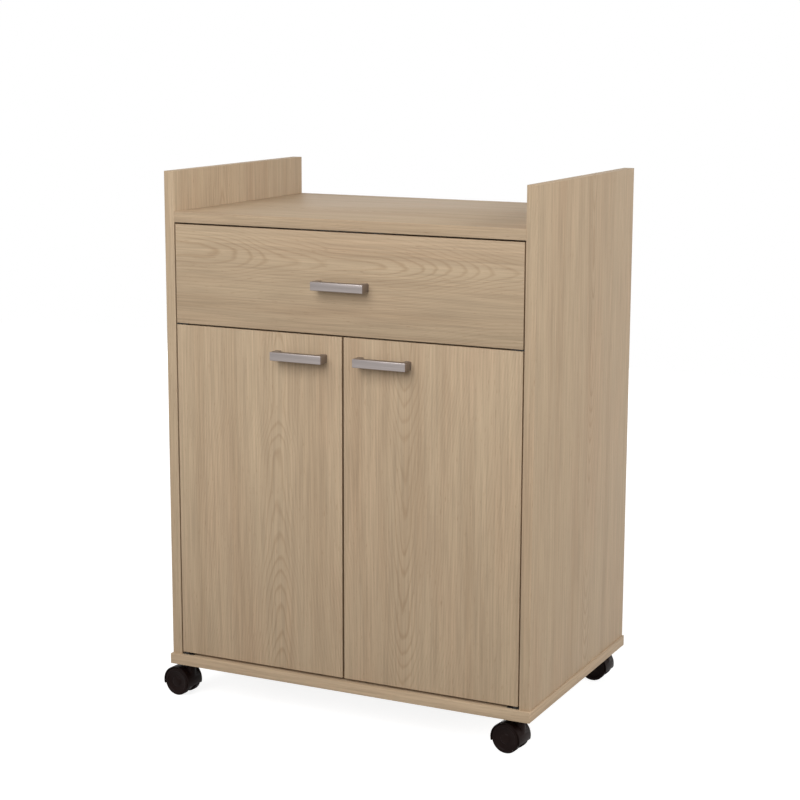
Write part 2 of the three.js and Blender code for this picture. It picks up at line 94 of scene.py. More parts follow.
# The board's print: beech under melamine, in the tones that the photograph shows. Sizes are in mm.
woodLook = {
    "light": "#bda78b",
    "base": "#b7a186",
    "shade": "#b0997e",
    "line": "#8c6e50",
    "blush": "#b99c80",
    "ringPitch": 4.4,  # between growth lines beside the column of arches
    "ringWave": 2.2,  # how many growth lines their wobble spans
    "ringStops": [(0.0, 0.0), (0.50, 0.10), (0.80, 1.0), (0.88, 0.6), (1.0, 0.0)],  # soft side, hard side
    "arch": 0.11,  # how fast the arches follow each other along the grain
    "archDrift": 50,  # how unevenly they do
    "tip": 17.0,  # how blunt an arch's tip is
    "column": 55,  # half width of the column of arches
    "columnStops": [(0.15, 1.0), (1.0, 0.0)],  # how the arches fade towards its sides
    "columnLift": 0.35,  # how much more they show than the lines beside them
    "sway": 24,  # width in which that column wanders
    "lineDepth": 0.40,
    "patchStops": [(0.38, 0.12), (0.70, 0.55)],  # where lines beside the column are faint and where strong
    "blushStops": [(0.46, 0.0), (0.68, 0.3)],
    "fibreShare": 0.5,
    "fibreStops": [(0.32, 0.38), (0.5, 0.5), (0.68, 0.62)],
    "fleckStops": [(0.67, 0.0), (0.77, 0.4)],
    "fibreHeight": 0.05,
    "fibreBump": 0.25,
    "roughness": 0.50,
    "fibreRoughness": 0.10,
    "specular": 0.12,
    "noises": {  # length along the grain, width across it, detail, start, roughness
        "sway": (420, 150, 1.0, 0.0, 0.5),
        "drift": (230, 900, 1.5, 3.1, 0.5),
        "wave": (170, 30, 3.5, 5.3, 0.5),
        "patches": (260, 55, 2.0, 7.9, 0.5),
        "bands": (700, 30, 3.0, 1.3, 0.55),  # broad light and dark bands
        "blush": (300, 60, 2.0, 9.7, 0.5),
        "fibres": (120, 2.8, 2.5, 2.2, 0.6),  # drawn twice as wide as real so that they show
        "flecks": (14, 1.1, 1.0, 4.4, 0.5),
    },
    "startSlant": 1.7,  # across the grain, for each unit of start along it
}


# Beech-print laminate: paper under melamine, flat to the touch, with arched growth lines and fine fibres.
# The arches stand in one column, in metres across the grain, and point along the grain as rise says.
def woodPrint(name, along, across, column, seed, rise=1, lines=1.0, tint=None):
    look = woodLook
    made, tree = newMaterial(name)
    place = addNode(tree, "ShaderNodeTexCoord").outputs["Object"]
    axes = addNode(tree, "ShaderNodeSeparateXYZ", {"Vector": place})
    u = axes.outputs[along.upper()]
    v = axes.outputs[across[0].upper()]
    for other in across[1:]:
        v = addNode(tree, "ShaderNodeMath", {0: v, 1: axes.outputs[other.upper()]}, operation="ADD")
    flat = addNode(tree, "ShaderNodeCombineXYZ", {"X": u, "Y": v, "Z": seed})

    def grainNoise(kind):  # one of the look's noises, drawn out along the grain
        length, width, detail, start, roughness = look["noises"][kind]
        scaled = addNode(tree, "ShaderNodeMapping", {
            "Vector": flat,
            "Location": (start, start * look["startSlant"], start),
            "Scale": (1 / (length * mm), 1 / (width * mm), 1),
        })
        return addNode(tree, "ShaderNodeTexNoise",
                       {"Vector": scaled, "Scale": 1.0, "Detail": detail, "Roughness": roughness})

    # growth lines: arches stacked along one column, straight and even beside it
    sway = addNode(tree, "ShaderNodeMath", {
        0: grainNoise("sway"), 1: look["sway"] * mm, 2: -look["sway"] * mm / 2,
    }, operation="MULTIPLY_ADD")
    centred = addNode(tree, "ShaderNodeMath", {0: v, 1: column}, operation="SUBTRACT")
    off = addNode(tree, "ShaderNodeMath", {0: centred, 1: sway}, operation="ADD")
    blunted = addNode(tree, "ShaderNodeCombineXYZ", {"X": off, "Y": look["tip"] * mm})
    side = addNode(tree, "ShaderNodeVectorMath", {0: blunted}, operation="LENGTH").outputs["Value"]
    drift = addNode(tree, "ShaderNodeMath", {
        0: grainNoise("drift"), 1: look["archDrift"] * mm, 2: -look["archDrift"] * mm / 2,
    }, operation="MULTIPLY_ADD")
    opened = addNode(tree, "ShaderNodeMath", {0: u, 1: look["arch"] * rise, 2: drift},
                     operation="MULTIPLY_ADD")
    reach = addNode(tree, "ShaderNodeMath", {0: side, 1: opened}, operation="ADD")
    wave = addNode(tree, "ShaderNodeMath", {0: grainNoise("wave"), 1: look["ringWave"]},
                   operation="MULTIPLY")
    count = addNode(tree, "ShaderNodeMath", {0: reach, 1: 1 / (look["ringPitch"] * mm), 2: wave},
                    operation="MULTIPLY_ADD")
    phase = addNode(tree, "ShaderNodeMath", {0: count}, operation="FRACT")
    ring = addNode(tree, "ShaderNodeValToRGB", {"Fac": phase}, look["ringStops"], "EASE")

    # they are strongest in the column, and come and go in patches beside it
    shareOut = addNode(tree, "ShaderNodeMath", {0: off, 1: look["column"] * mm}, operation="DIVIDE")
    farOut = addNode(tree, "ShaderNodeMath", {0: shareOut}, operation="ABSOLUTE")
    nearColumn = addNode(tree, "ShaderNodeValToRGB", {"Fac": farOut}, look["columnStops"], "EASE")
    patches = addNode(tree, "ShaderNodeValToRGB", {"Fac": grainNoise("patches")}, look["patchStops"])
    lifted = addNode(tree, "ShaderNodeMath", {0: patches, 1: look["columnLift"]}, operation="ADD")
    inColumn = addNode(tree, "ShaderNodeMath", {0: nearColumn, 1: lifted}, operation="MULTIPLY")
    strength = addNode(tree, "ShaderNodeMath", {0: inColumn, 1: patches}, operation="MAXIMUM")
    lineShare = addNode(tree, "ShaderNodeMath", {0: ring, 1: strength}, operation="MULTIPLY")
    lineDark = addNode(tree, "ShaderNodeMath", {0: lineShare, 1: look["lineDepth"] * lines},
                       operation="MULTIPLY")

    # colour: bands, then a blush, the lines, fibres, flecks and a tint over them
    tones = [(0.30, look["shade"]), (0.48, look["base"]), (0.70, look["light"])]
    colour = addNode(tree, "ShaderNodeValToRGB", {"Fac": grainNoise("bands")}, tones)
    blush = addNode(tree, "ShaderNodeValToRGB", {"Fac": grainNoise("blush")}, look["blushStops"])
    fibres = grainNoise("fibres")
    fibreTone = addNode(tree, "ShaderNodeValToRGB", {"Fac": fibres}, look["fibreStops"])
    flecks = addNode(tree, "ShaderNodeValToRGB", {"Fac": grainNoise("flecks")}, look["fleckStops"])
    layers = [
        (blush, linear(look["blush"]), "MIX"),
        (lineDark, linear(look["line"]), "MIX"),
        (look["fibreShare"], fibreTone, "OVERLAY"),
        (flecks, linear(look["line"]), "MIX"),
    ]
    if tint:
        layers.append((1.0, linear(tint), "MULTIPLY"))
    for share, over, blend in layers:
        colour = addNode(tree, "ShaderNodeMix", {mixFactor: share, mixA: colour, mixB: over},
                         data_type="RGBA", blend_type=blend).outputs[mixResult]

    rough = addNode(tree, "ShaderNodeMath", {0: fibres, 1: look["fibreRoughness"], 2: look["roughness"]},
                    operation="MULTIPLY_ADD")
    bump = addNode(tree, "ShaderNodeBump",
                   {"Strength": look["fibreBump"], "Distance": look["fibreHeight"] * mm, "Height": fibres})
    shader = addNode(tree, "ShaderNodeBsdfPrincipled", {
        "Base Color": colour, "Roughness": rough, "Normal": bump, "Specular IOR Level": look["specular"],
    })
    addNode(tree, "ShaderNodeOutputMaterial", {"Surface": shader})
    return made


# Drawer-side laminate: pale print on particle board, matt, with a faint drawn-out grain. Sizes are in mm.
laminateLook = {
    "dark": "#cfc6b6",
    "light": "#dfd8ca",
    "grainLength": 830,
    "grainWidth": 4.2,
    "grainDepth": 165,  # through the board
    "roughness": 0.48,
    "grainRoughness": 0.10,
}


def paleLaminate(name, along, across, seed):
    look = laminateLook
    made, tree = newMaterial(name)
    place = addNode(tree, "ShaderNodeTexCoord").outputs["Object"]
    size = dict.fromkeys("xyz", look["grainDepth"])
    size[along] = look["grainLength"]
    size[across] = look["grainWidth"]
    scaled = addNode(tree, "ShaderNodeMapping", {
        "Vector": place,
        "Location": (seed, seed, seed),
        "Scale": [1 / (size[axis] * mm) for axis in "xyz"],
    })
    grain = addNode(tree, "ShaderNodeTexNoise", {"Vector": scaled, "Scale": 1.0, "Detail": 3.0})
    colour = addNode(tree, "ShaderNodeValToRGB", {"Fac": grain}, [(0.3, look["dark"]), (0.7, look["light"])])
    rough = addNode(tree, "ShaderNodeMath", {0: grain, 1: look["grainRoughness"], 2: look["roughness"]},
                    operation="MULTIPLY_ADD")
    shader = addNode(tree, "ShaderNodeBsdfPrincipled", {"Base Color": colour, "Roughness": rough})
    addNode(tree, "ShaderNodeOutputMaterial", {"Surface": shader})
    return made


# Satin nickel: plated zinc die casting, brushed along its length, so its highlight is drawn across.
# Sizes are in mm.
nickelLook = {
    "dark": "#8b8481",
    "light": "#9f9795",
    "cloud": "#958d8a",
    "cloudWidth": 16.5,
    "brushLength": 80,
    "brushWidth": 0.7,  # drawn wider than real so that it shows
    "brushHeight": 0.02,
    "brushBump": 0.2,
    "roughness": 0.27,
    "brushRoughness": 0.14,
    "anisotropic": 0.5,
}


def satinNickel(name):
    look = nickelLook
    made, tree = newMaterial(name)
    place = addNode(tree, "ShaderNodeTexCoord").outputs["Object"]
    fine = 1 / (look["brushWidth"] * mm)
    scaled = addNode(tree, "ShaderNodeMapping",
                     {"Vector": place, "Scale": (1 / (look["brushLength"] * mm), fine, fine)})
    brush = addNode(tree, "ShaderNodeTexNoise", {"Vector": scaled, "Scale": 1.0, "Detail": 3.0})
    cloud = addNode(tree, "ShaderNodeTexNoise",
                    {"Vector": place, "Scale": 1 / (look["cloudWidth"] * mm), "Detail": 2.0})
    brushed = addNode(tree, "ShaderNodeValToRGB", {"Fac": brush}, [(0.3, look["dark"]), (0.7, look["light"])])
    colour = addNode(tree, "ShaderNodeMix", {mixFactor: cloud, mixA: brushed, mixB: linear(look["cloud"])},
                     data_type="RGBA").outputs[mixResult]
    rough = addNode(tree, "ShaderNodeMath", {0: brush, 1: look["brushRoughness"], 2: look["roughness"]},
                    operation="MULTIPLY_ADD")
    bump = addNode(tree, "ShaderNodeBump",
                   {"Strength": look["brushBump"], "Distance": look["brushHeight"] * mm, "Height": brush})
    shader = addNode(tree, "ShaderNodeBsdfPrincipled", {
        "Base Color": colour, "Metallic": 1.0, "Roughness": rough, "Normal": bump,
        "Anisotropic": look["anisotropic"],
    })
    addNode(tree, "ShaderNodeOutputMaterial", {"Surface": shader})
    return made


# Zinc-plated steel: thin bright plating with a faint bluish cloud and a fine grit. Sizes are in mm.
zincLook = {
    "dark": "#a9adb3",
    "light": "#c4c6c8",
    "cloudWidth": 5.5,
    "grit": 0.4,
    "gritHeight": 0.03,
    "gritBump": 0.15,
    "roughness": 0.22,
    "cloudRoughness": 0.20,
}


def zincPlate(name):
    look = zincLook
    made, tree = newMaterial(name)
    place = addNode(tree, "ShaderNodeTexCoord").outputs["Object"]
    cloud = addNode(tree, "ShaderNodeTexNoise",
                    {"Vector": place, "Scale": 1 / (look["cloudWidth"] * mm), "Detail": 4.0})
    grit = addNode(tree, "ShaderNodeTexNoise",
                   {"Vector": place, "Scale": 1 / (look["grit"] * mm), "Detail": 1.0})
    tones = [(0.35, look["dark"]), (0.65, look["light"])]
    colour = addNode(tree, "ShaderNodeValToRGB", {"Fac": cloud}, tones)
    rough = addNode(tree, "ShaderNodeMath", {0: cloud, 1: look["cloudRoughness"], 2: look["roughness"]},
                    operation="MULTIPLY_ADD")
    bump = addNode(tree, "ShaderNodeBump",
                   {"Strength": look["gritBump"], "Distance": look["gritHeight"] * mm, "Height": grit})
    shader = addNode(tree, "ShaderNodeBsdfPrincipled",
                     {"Base Color": colour, "Metallic": 1.0, "Roughness": rough, "Normal": bump})
    addNode(tree, "ShaderNodeOutputMaterial", {"Surface": shader})
    return made


# Moulded and coated finishes: two near tones in soft clouds over a fine grit that breaks the shine.
coatings = {  # name, darker and lighter tone, roughness, width and height of the grit in mm, specular level
    "epoxy": ("white epoxy on steel", "#dedcd5", "#e8e6e0", 0.28, 0.6, 0.02, 0.5),  # satin, orange peel
    "nylon": ("natural nylon", "#dedbd2", "#e9e7e1", 0.36, 0.3, 0.01, 0.5),  # milky, smooth
    "blackNylon": ("black moulded nylon", "#140a08", "#1c110f", 0.36, 0.35, 0.02, 0.06),  # soft, spark eroded
    "blackTread": ("black tread nylon", "#130a08", "#1a100e", 0.49, 0.5, 0.03, 0.05),  # duller, rubbed
    "blackSteel": ("black phosphated steel", "#161413", "#201d1b", 0.44, 0.4, 0.01, 0.5),  # dry, near black
    "brownPlastic": ("brown moulded ABS", "#7d6449", "#8a6f52", 0.42, 0.35, 0.02, 0.5),  # like the print
}
coatingLook = {
    "cloudWidth": 28.5,  # mm
    "gritRoughness": 0.12,
    "gritBump": 0.4,
}


def coated(name, dark, light, roughness, grit, gritHeight, specular):
    look = coatingLook
    made, tree = newMaterial(name)
    place = addNode(tree, "ShaderNodeTexCoord").outputs["Object"]
    cloud = addNode(tree, "ShaderNodeTexNoise",
                    {"Vector": place, "Scale": 1 / (look["cloudWidth"] * mm), "Detail": 3.0})
    grain = addNode(tree, "ShaderNodeTexNoise", {"Vector": place, "Scale": 1 / (grit * mm), "Detail": 2.0})
    colour = addNode(tree, "ShaderNodeValToRGB", {"Fac": cloud}, [(0.3, dark), (0.7, light)])
    rough = addNode(tree, "ShaderNodeMath", {0: grain, 1: look["gritRoughness"], 2: roughness},
                    operation="MULTIPLY_ADD")
    bump = addNode(tree, "ShaderNodeBump",
                   {"Strength": look["gritBump"], "Distance": gritHeight * mm, "Height": grain})
    shader = addNode(tree, "ShaderNodeBsdfPrincipled", {
        "Base Color": colour, "Roughness": rough, "Normal": bump, "Specular IOR Level": specular,
    })
    addNode(tree, "ShaderNodeOutputMaterial", {"Surface": shader})
    return made


# Raw hardboard: the brown back of pressed fibre, with its screen's fine net and loose fibres.
# Sizes are in mm.
hardboardLook = {
    "fibreStops": [(0.30, "#6f5238"), (0.52, "#866447"), (0.72, "#a07c5a")],
    "cloudStops": [(0.35, "#7b5a3f"), (0.65, "#96704f")],
    "cloudShare": 0.35,
    "fibreWidth": 2.4,
    "cloudWidth": 70,
    "netPitch": 1.8,  # between wires, drawn wider apart than real so that they show
    "netHeight": 0.12,
    "netBump": 0.35,
    "fibreRise": 0.6,  # of the net's height
    "roughness": 0.68,
    "fibreRoughness": 0.20,
    "specular": 0.25,
}


def rawFibreboard(name):
    look = hardboardLook
    made, tree = newMaterial(name)
    place = addNode(tree, "ShaderNodeTexCoord").outputs["Object"]
    fibres = addNode(tree, "ShaderNodeTexNoise",
                     {"Vector": place, "Scale": 1 / (look["fibreWidth"] * mm), "Detail": 4.0})
    cloud = addNode(tree, "ShaderNodeTexNoise",
                    {"Vector": place, "Scale": 1 / (look["cloudWidth"] * mm), "Detail": 3.0})
    fibreTone = addNode(tree, "ShaderNodeValToRGB", {"Fac": fibres}, look["fibreStops"])
    cloudTone = addNode(tree, "ShaderNodeValToRGB", {"Fac": cloud}, look["cloudStops"])
    colour = addNode(tree, "ShaderNodeMix", {mixFactor: look["cloudShare"], mixA: fibreTone, mixB: cloudTone},
                     data_type="RGBA").outputs[mixResult]
    axes = addNode(tree, "ShaderNodeSeparateXYZ", {"Vector": place})
    net = 1.0
    for axis in "XZ":
        angle = addNode(tree, "ShaderNodeMath", {
            0: axes.outputs[axis], 1: 2 * math.pi / (look["netPitch"] * mm),
        }, operation="MULTIPLY")
        wave = addNode(tree, "ShaderNodeMath", {0: angle}, operation="SINE")
        wire = addNode(tree, "ShaderNodeMath", {0: wave, 1: 0.5, 2: 0.5}, operation="MULTIPLY_ADD")
        net = addNode(tree, "ShaderNodeMath", {0: net, 1: wire}, operation="MULTIPLY")
    height = addNode(tree, "ShaderNodeMath", {0: fibres, 1: look["fibreRise"], 2: net},
                     operation="MULTIPLY_ADD")
    rough = addNode(tree, "ShaderNodeMath", {0: fibres, 1: look["fibreRoughness"], 2: look["roughness"]},
                    operation="MULTIPLY_ADD")
    bump = addNode(tree, "ShaderNodeBump",
                   {"Strength": look["netBump"], "Distance": look["netHeight"] * mm, "Height": height})
    shader = addNode(tree, "ShaderNodeBsdfPrincipled", {
        "Base Color": colour, "Roughness": rough, "Normal": bump, "Specular IOR Level": look["specular"],
    })
    addNode(tree, "ShaderNodeOutputMaterial", {"Surface": shader})
    return made


# Edge banding: a thin printed strip whose grain runs along the edge. Its column of arches lies far off,
# so that only straight lines show.
bandLook = {
    "across": {"x": ("zy", 11.0), "y": ("xz", 12.0), "z": ("yx", 13.0)},  # for each grain axis, and a seed
    "column": 9.0,
    "lines": 0.6,
}
bandAlong = {axis: woodPrint(f"beech-print edge band along {axis}", axis, across, bandLook["column"], seed,
                             lines=bandLook["lines"])
             for axis, (across, seed) in bandLook["across"].items()}
# Printed hardboard: the same print a little fainter and darker, because its paper lies on brown board.
thinLook = {"lines": 0.8, "tint": "#eee6dd"}
hardboardPrint = woodPrint("beech-print hardboard", "z", "x", 0.05, 21.0, **thinLook)
drawerFloorPrint = woodPrint("beech-print drawer bottom", "x", "y", 0.1, 22.0, **thinLook)
rawBoard = rawFibreboard("raw hardboard back")
paleSides = paleLaminate("pale drawer laminate", "y", "z", seed=1.0)
paleBack = paleLaminate("pale drawer laminate, back", "x", "z", seed=4.0)
nickel = satinNickel("satin nickel plate")
zinc = zincPlate("bright zinc plate")
coats = {key: coated(*values) for key, values in coatings.items()}
print("finishes made")

weld = 0.001 * mm  # points nearer than this are one
flatness = 0.4  # degrees between faces that are one flat face


def cleanCopy(node):  # a merged copy of a node's mesh with flat faces made whole
    shape = bmesh.new()
    shape.from_mesh(frame["nodes"][node].data)
    bmesh.ops.remove_doubles(shape, verts=shape.verts, dist=weld)
    bmesh.ops.dissolve_limit(shape, angle_limit=math.radians(flatness), verts=shape.verts, edges=shape.edges)
    return shape


def easeEdges(shape, width, segments=2, sharpest=40):  # bevels the edges past that angle, width in mm
    picked = [edge for edge in shape.edges
              if len(edge.link_faces) == 2 and edge.calc_face_angle(0) > math.radians(sharpest)]
    bmesh.ops.bevel(shape, geom=picked, offset=width * mm, offset_type="OFFSET", segments=segments,
                    profile=0.5, affect="EDGES", clamp_overlap=True, material=-1)


# An object that rides its body. Facets that meet at less than smooth, in degrees, are shaded as one.
def finishPiece(shape, name, body, materials, smooth=35):
    mesh = bpy.data.meshes.new(name)
    shape.to_mesh(mesh)
    shape.free()
    for material in materials:
        mesh.materials.append(material)
    mesh.shade_smooth()
    mesh.set_sharp_from_angle(angle=math.radians(smooth))
    piece = bpy.data.objects.new(name, mesh)
    bpy.context.scene.collection.objects.link(piece)
    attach(piece, body)
    return piece


# Boards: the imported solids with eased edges, print on their faces and banding on their edges.
boards = {  # thickness axis, grain axis, the arches' place across the grain in metres and their way, seed
    "side_panel_right": ("x", "z", 0.035, -1, 1.0),
    "side_panel_left": ("x", "z", -0.05, 1, 2.0),
    "door_left": ("y", "z", -0.098, 1, 3.0),
    "door_right": ("y", "z", 0.110, -1, 4.0),
    "drawer_front": ("y", "x", 0.700, 1, 5.0),
    "base_panel": ("z", "x", 0.02, 1, 6.0),
    "top_shelf": ("z", "x", -0.05, -1, 7.0),
    "inner_shelf": ("z", "x", 0.03, 1, 8.0),
    "front_rail": ("z", "x", -0.12, 1, 9.0),
}
boardEase = 0.4  # mm
facingShare = 0.72  # how squarely a facet looks along the thickness before it belongs to the board's face


def thirdAxis(first, second):
    return ({"x", "y", "z"} - {first, second}).pop()


for node, (thick, grain, column, rise, seed) in boards.items():
    shape = cleanCopy(node)
    easeEdges(shape, boardEase)
    face = woodPrint(f"beech-print laminate {node}", grain, thirdAxis(thick, grain), column, seed, rise)
    rims = [axis for axis in "xyz" if axis != thick]
    bands = [bandAlong[thirdAxis(thick, rim)] for rim in rims]  # along the edge's longer side
    for poly in shape.faces:
        reach = {axis: abs(poly.normal["xyz".index(axis)]) for axis in "xyz"}
        onFace = reach[thick] > facingShare
        poly.material_index = 0 if onFace else 1 + rims.index(max(rims, key=reach.get))
    piece = finishPiece(shape, f"{node}_board", nodeBody[node], [face, *bands])
    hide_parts(node)

thinBoards = {  # thickness axis, which way the printed face looks, its print
    "back_panel": ("y", -1, hardboardPrint),
    "drawer_bottom": ("z", 1, drawerFloorPrint),
}
for node, (thick, way, face) in thinBoards.items():
    shape = cleanCopy(node)
    for poly in shape.faces:
        poly.material_index = 0 if poly.normal["xyz".index(thick)] * way > facingShare else 1
    piece = finishPiece(shape, f"{node}_sheet", nodeBody[node], [face, rawBoard])
    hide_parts(node)
print("boards made")

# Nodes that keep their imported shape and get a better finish, by a word in their names.
keptFinish = {
    "drawer_side": paleSides,
    "drawer_back": paleBack,
    "magnetic_catch": coats["brownPlastic"],
    "door_pivot": coats["blackSteel"],
    "shelf_pin": zinc,
    "strike": zinc,
    "stem": zinc,
    "axle": zinc,
    "runner": coats["epoxy"],
    "roller": coats["nylon"],
    "socket": coats["blackNylon"],
}
for node in nodeBody:
    for word, material in keptFinish.items():
        if word in node:
            frame["nodes"][node].material_slots[0].material = material
print("kept nodes finished")

# Handles: the bar with its legs, its edges broken by polishing.
handleLook = {
    "ease": 0.3,  # mm
    "sharpest": 20,  # degrees past which an edge is eased
    "smooth": 30,  # degrees up to which facets are shaded as one
}
for node in ("drawer_handle", "door_handle_left", "door_handle_right"):
    shape = cleanCopy(node)
    easeEdges(shape, handleLook["ease"], sharpest=handleLook["sharpest"])
    piece = finishPiece(shape, f"{node}_bar", nodeBody[node], [nickel], handleLook["smooth"])
    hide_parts(node)
print("handles made")

# Casters: hoods with rounded edges, wheels turned on their axles. Sizes are in mm.
casterLook = {
    "hoodEase": 0.9,
    "hoodSegments": 3,
    "hoodSharpest": 45,  # degrees
    "hoodSmooth": 40,  # degrees
    "wheelSteps": 72,
    "wheelSmooth": 28,  # degrees
    "treadFrom": 20.9,  # radius
    "wheel": [  # radius and distance from the caster's middle: bore, inner face, grooved tread, outer face
        (0, 15.95), (2.3, 15.95), (2.3, 7.1), (19.6, 7.1), (21.2, 7.6),
        (22.0, 8.6), (22.0, 11.6), (21.5, 12.0), (21.5, 12.4), (22.0, 12.8), (22.0, 15.7),
        (21.5, 16.7), (20.5, 17.3), (17.4, 17.3), (16.6, 16.4), (16.0, 16.1),
        (8.0, 16.1), (7.2, 16.8), (6.0, 17.1), (0, 17.1),
    ],
}


def facing(direction):  # the turn from upright to the given direction
    return Vector((0, 0, 1)).rotation_difference(Vector(direction)).to_matrix().to_4x4()


def turned(outline, centre, direction, steps):  # spins (radius, height) pairs in mm about a line
    shape = bmesh.new()
    rim = [shape.verts.new((radius * mm, 0, height * mm)) for radius, height in outline]
    edges = [shape.edges.new(pair) for pair in zip(rim, rim[1:])]
    bmesh.ops.spin(shape, geom=rim + edges, cent=(0, 0, 0), axis=(0, 0, 1), dvec=(0, 0, 0),
                   angle=2 * math.pi, steps=steps, use_merge=True, use_duplicate=False)
    bmesh.ops.remove_doubles(shape, verts=shape.verts, dist=weld)
    bmesh.ops.recalc_face_normals(shape, faces=shape.faces)
    bmesh.ops.transform(shape, matrix=Matrix.Translation(centre) @ facing(direction), verts=shape.verts)
    return shape


jointOf = {joint["child"]: joint for joint in frame["record"]["behaviour"]["joints"]}
for node in nodeBody:
    if node.startswith("caster_hood"):
        shape = cleanCopy(node)
        easeEdges(shape, casterLook["hoodEase"], casterLook["hoodSegments"], casterLook["hoodSharpest"])
        piece = finishPiece(shape, f"{node}_shell", nodeBody[node], [coats["blackNylon"]],
                            casterLook["hoodSmooth"])
        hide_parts(node)
    if node.startswith("caster_wheel"):
        joint = jointOf[nodeBody[node]]
        centre = Vector(joint["pos_m"])
        outward = Vector(joint["axis"]) * (-1 if node.endswith("front") else 1)
        shape = turned(casterLook["wheel"], centre, outward, casterLook["wheelSteps"])
        for poly in shape.faces:
            away = poly.calc_center_median() - centre
            radius = (away - away.dot(outward) * outward).length
            poly.material_index = 1 if radius > casterLook["treadFrom"] * mm else 0
        piece = finishPiece(shape, f"{node}_disc", nodeBody[node],
                            [coats["blackNylon"], coats["blackTread"]], casterLook["wheelSmooth"])
        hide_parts(node)
print("casters made")

# Screw heads with a cross recess. A pan head is domed, a sunk head lies almost flush.
headProfiles = {  # shares of the radius and of the rise, from the flat side up
    "pan": [(1, 0), (1, 0.45), (0.93, 0.75), (0.78, 0.94), (0.6, 1)],
    "sunk": [(1, 0), (0.97, 0.8), (0.9, 1)],
}
screws = {  # radius and rise in mm, profile, record slot
    "handle": (3.4, 1.6, "pan", "zinc_steel"),
    "cabinet runner": (3.2, 0.3, "sunk", "zinc_steel"),
    "drawer runner": (3.0, 0.3, "sunk", "zinc_steel"),
    "strike plate": (2.6, 0.15, "sunk", "zinc_steel"),
    "pivot": (2.8, 0.4, "sunk", "black_steel"),
    "base": (4.5, 0.3, "sunk", "zinc_steel"),
    "cam": (7.5, 0.3, "sunk", "zinc_steel"),
}
screwMetal = {"zinc_steel": zinc, "black_steel": coats["blackSteel"]}
crossRecess = {  # shares of the head's radius and rise
    "reach": 0.46,
    "halfWidth": 0.12,
    "depth": 0.7,
}
headSteps = 24  # as many as the cross has points, so that they can be bridged
headSmooth = 40  # degrees


def screwHeads(name, body, kind, places, direction):  # each has its flat side on the surface at its place
    radius, rise, profile, slot = screws[kind]
    arm, half = crossRecess["reach"] * radius * mm, crossRecess["halfWidth"] * radius * mm
    corners = [(arm, half), (half, half), (half, arm)]
    whole = bmesh.new()
    for place in places:
        head = bmesh.new()
        rings = []
        for wide, high in headProfiles[profile]:
            ring = bmesh.ops.create_circle(head, cap_ends=(high == 0), segments=headSteps,
                                           radius=radius * wide * mm)["verts"]
            bmesh.ops.translate(head, verts=ring, vec=(0, 0, rise * high * mm))
            rings.append(ring)
        cross = []
        for turn in range(4):
            for x, y in corners:
                for _ in range(turn):
                    x, y = -y, x
                cross.append(head.verts.new((x, y, rise * mm)))
        loop = [head.edges.new(pair) for pair in zip(cross, cross[1:] + cross[:1])]
        bmesh.ops.subdivide_edges(head, edges=loop, cuts=1)
        onRings = {vert for ring in rings for vert in ring}
        inner = [vert for vert in head.verts if vert not in onRings]
        rings.append(inner)
        for pair in zip(rings, rings[1:]):
            around = [edge for edge in head.edges if any(all(v in ring for v in edge.verts) for ring in pair)]
            bmesh.ops.bridge_loops(head, edges=around)
        rim = [edge for edge in head.edges if all(v in inner for v in edge.verts)]
        floor = bmesh.ops.contextual_create(head, geom=rim)["faces"]
        pushed = bmesh.ops.extrude_face_region(head, geom=floor)
        lowered = [part for part in pushed["geom"] if isinstance(part, bmesh.types.BMVert)]
        bmesh.ops.translate(head, verts=lowered, vec=(0, 0, -crossRecess["depth"] * rise * mm))
        bmesh.ops.delete(head, geom=[face for face in floor if face.is_valid], context="FACES_ONLY")
        bmesh.ops.recalc_face_normals(head, faces=head.faces)
        bmesh.ops.transform(head, matrix=Matrix.Translation(place) @ facing(direction), verts=head.verts)
        held = bpy.data.meshes.new("head")
        head.to_mesh(held)
        head.free()
        whole.from_mesh(held)
        bpy.data.meshes.remove(held)
    return finishPiece(whole, name, body, [screwMetal[slot]], headSmooth)


# Small steel on the cart: where the screws and cams sit. Sizes are in mm.
fittings = {
    "handleHole": 37.75,  # from a handle's middle to each of its screws
    "runnerScrews": (50, 175, 300),  # from the runners' front ends
    "runnerSheet": 1.2,  # the runners' steel
    "drawerRunnerRise": 6,  # from the drawer side's lower edge
    "pivotScrews": (6, 16),  # from the plate's back edge
    "pivotSheet": 1.2,
    "baseScrews": (45, 197, 345),  # from the base's front edge
    "cams": (50, 345),  # from the top shelf's front edge
    "camInset": 34,  # from a panel's inner face to a cam's middle
}
for body, front, handle in (("drawer", "drawer_front", "drawer_handle"),
                            ("door_left", "door_left", "door_handle_left"),
                            ("door_right", "door_right", "door_handle_right")):
    low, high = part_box(handle)
    centre, hole = (low + high) / 2, fittings["handleHole"] * mm
    places = [Vector((centre.x + way * hole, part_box(front)[1].y, centre.z)) for way in (-1, 1)]
    screwHeads(f"{handle}_screws", body, "handle", places, (0, 1, 0))

